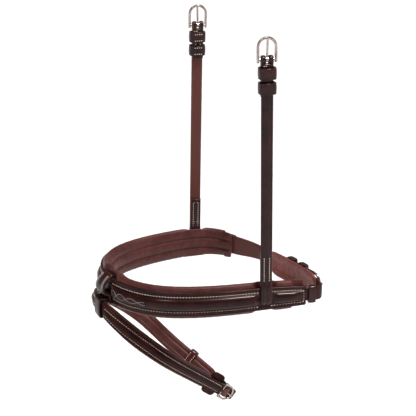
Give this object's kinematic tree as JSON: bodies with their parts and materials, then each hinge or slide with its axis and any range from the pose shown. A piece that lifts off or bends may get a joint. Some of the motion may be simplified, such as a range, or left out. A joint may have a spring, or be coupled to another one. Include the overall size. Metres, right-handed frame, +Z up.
{
  "type": "flash noseband",
  "caption": "Padded leather noseband of a riding bridle, buckled in its worn shape, with two cheek straps ending in buckles and a lower flash strap hung from the nose.",
  "frame": {"origin": "middle of the nose opening, at half the height of the noseband", "axes": "+Z up the cheek straps, -X the front of the nose, +X the chin closure, -Y the near side"},
  "size_m": [0.2384, 0.2057, 0.4539],
  "materials": {
    "leather": "dark brown strap leather, smooth, slightly waxed",
    "keeper_leather": "dark brown leather with creased edges",
    "lining": "soft mid brown padded lining leather",
    "buckle_steel": "polished stainless steel wire"
  },
  "bodies": {
    "noseband": {"noseband_leather": "leather", "noseband_padding": "lining", "near_cheek_loop": "leather", "far_cheek_loop": "leather", "noseband_billet": "leather", "chin_strap": "leather", "chin_pad": "lining", "chin_buckle_frame": "buckle_steel", "chin_keeper": "keeper_leather", "flash_hanger": "leather"},
    "near_cheek": {"near_cheek_strap": "leather", "near_cheek_return": "leather", "near_cheek_keeper": "keeper_leather"},
    "near_runner": {"near_cheek_runner": "keeper_leather"},
    "near_buckle": {"near_buckle_frame": "buckle_steel"},
    "near_tongue": {"near_buckle_tongue": "buckle_steel"},
    "far_cheek": {"far_cheek_strap": "leather", "far_cheek_return": "leather", "far_cheek_keeper": "keeper_leather"},
    "far_runner": {"far_cheek_runner": "keeper_leather"},
    "far_buckle": {"far_buckle_frame": "buckle_steel"},
    "far_tongue": {"far_buckle_tongue": "buckle_steel"},
    "chin_tongue": {"chin_buckle_tongue": "buckle_steel"},
    "chin_runner": {"chin_runner": "keeper_leather"},
    "billet_runner": {"billet_runner": "keeper_leather"},
    "flash": {"flash_keeper": "keeper_leather", "flash_strap": "leather", "flash_padding": "lining", "flash_chape": "leather", "flash_guard": "leather", "flash_billet": "leather", "flash_buckle_frame": "buckle_steel"},
    "flash_tongue": {"flash_buckle_tongue": "buckle_steel"},
    "flash_runner": {"flash_runner": "keeper_leather"}
  },
  "joints": [
    {"name": "near_cheek_flex", "type": "hinge", "parent": "noseband", "child": "near_cheek", "pos_m": [0.04972, -0.07968, 0.021], "axis": [-0.9878, 0.1556, 0], "range_deg": [-80, 80]},
    {"name": "near_runner_slide", "type": "slide", "parent": "near_cheek", "child": "near_runner", "axis": [-0.0172, 0.0027, 0.9998], "range_m": [-0.16, 0.003]},
    {"name": "near_buckle_turn", "type": "hinge", "parent": "near_cheek", "child": "near_buckle", "pos_m": [0.04555, -0.07902, 0.26296], "axis": [-0.9877, 0.1556, -0.0175], "range_deg": [-60, 60]},
    {"name": "near_tongue_turn", "type": "hinge", "parent": "near_buckle", "child": "near_tongue", "pos_m": [0.04555, -0.07902, 0.26296], "axis": [0.9877, -0.1556, 0.0175], "range_deg": [0, 110]},
    {"name": "far_cheek_flex", "type": "hinge", "parent": "noseband", "child": "far_cheek", "pos_m": [0.03637, 0.09494, 0.021], "axis": [0.9876, -0.1569, 0], "range_deg": [-80, 80]},
    {"name": "far_runner_slide", "type": "slide", "parent": "far_cheek", "child": "far_runner", "axis": [0.0172, -0.0027, 0.9998], "range_m": [-0.16, 0.003]},
    {"name": "far_buckle_turn", "type": "hinge", "parent": "far_cheek", "child": "far_buckle", "pos_m": [0.04054, 0.09428, 0.26296], "axis": [0.9875, -0.1568, -0.0175], "range_deg": [-60, 60]},
    {"name": "far_tongue_turn", "type": "hinge", "parent": "far_buckle", "child": "far_tongue", "pos_m": [0.04054, 0.09428, 0.26296], "axis": [-0.9875, 0.1568, 0.0175], "range_deg": [0, 110]},
    {"name": "chin_tongue_turn", "type": "hinge", "parent": "noseband", "child": "chin_tongue", "pos_m": [0.11497, -0.0485, 0], "axis": [0, 0, 1], "range_deg": [0, 12]},
    {"name": "chin_runner_slide", "type": "slide", "parent": "noseband", "child": "chin_runner", "axis": [-0.2522, 0.9677, 0], "range_m": [-0.003, 0.003]},
    {"name": "billet_runner_slide", "type": "slide", "parent": "noseband", "child": "billet_runner", "axis": [0.9816, -0.1909, 0], "range_m": [-0.001, 0.001]},
    {"name": "flash_swing", "type": "hinge", "parent": "noseband", "child": "flash", "pos_m": [-0.10374, 0.00911, -0.0063], "axis": [0.1597, -0.9872, 0], "range_deg": [-40, 0]},
    {"name": "flash_tongue_turn", "type": "hinge", "parent": "flash", "child": "flash_tongue", "pos_m": [0.03031, -0.00943, -0.14947], "axis": [-0.6691, 0, -0.7431], "range_deg": [0, 12]},
    {"name": "flash_runner_slide", "type": "slide", "parent": "flash", "child": "flash_runner", "axis": [-0.5657, 0.6486, 0.5093], "range_m": [-0.006, 0.006]}
  ]
}
